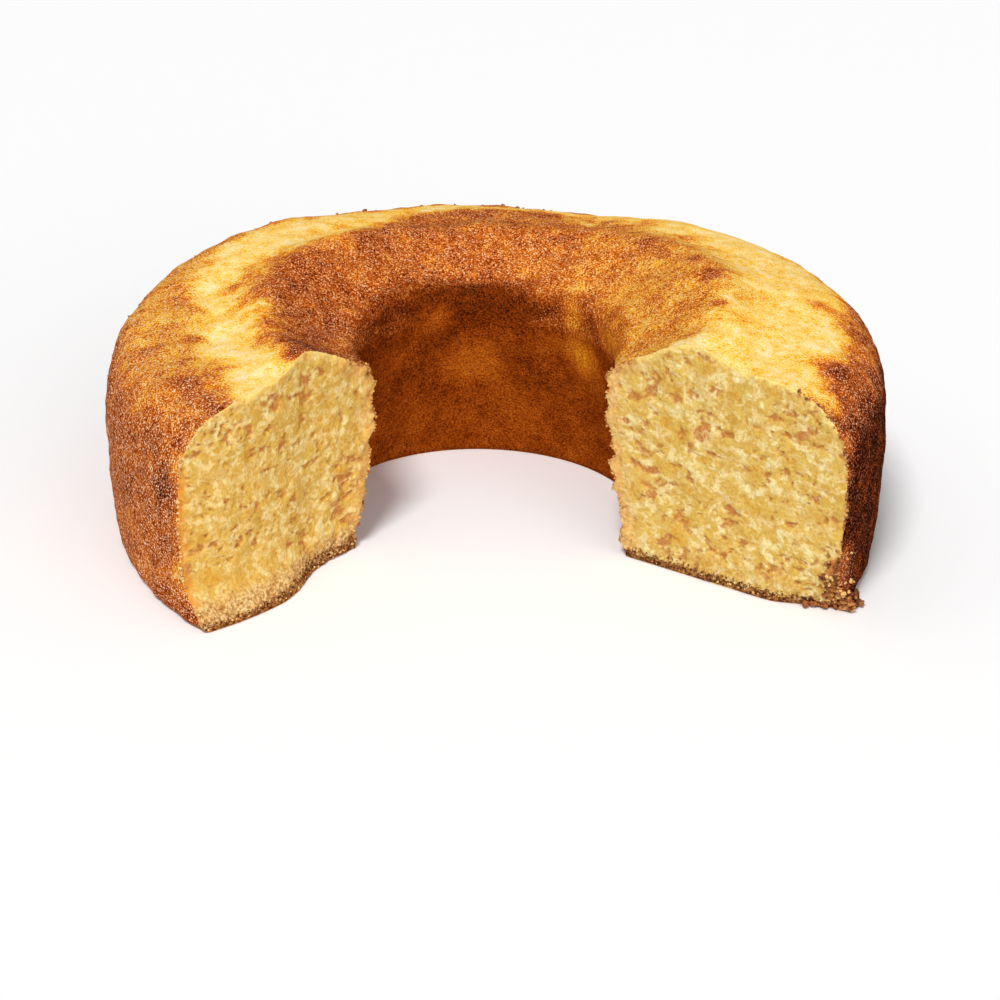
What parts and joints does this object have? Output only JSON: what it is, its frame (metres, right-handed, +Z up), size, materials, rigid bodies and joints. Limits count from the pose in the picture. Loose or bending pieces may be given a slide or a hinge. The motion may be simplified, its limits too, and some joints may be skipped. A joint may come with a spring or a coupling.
{
  "type": "orange ring cake",
  "caption": "Orange sponge cake baked in a ring tin, with a section cut out, showing open yellow crumb inside a browned crust; it stands on its flat base.",
  "frame": {"origin": "centre of the bounding box, on the flat base that the cake stands on", "axes": "+Z up out of the base, +X to the right and +Y to the back, with the cut-out section facing -Y"},
  "size_m": [0.214, 0.1888, 0.0698],
  "materials": {
    "baked_sponge": "matt browned crust with a slight sheen over open, pitted crumb"
  },
  "bodies": {
    "root": {"ring_cake": "baked_sponge"}
  },
  "joints": []
}
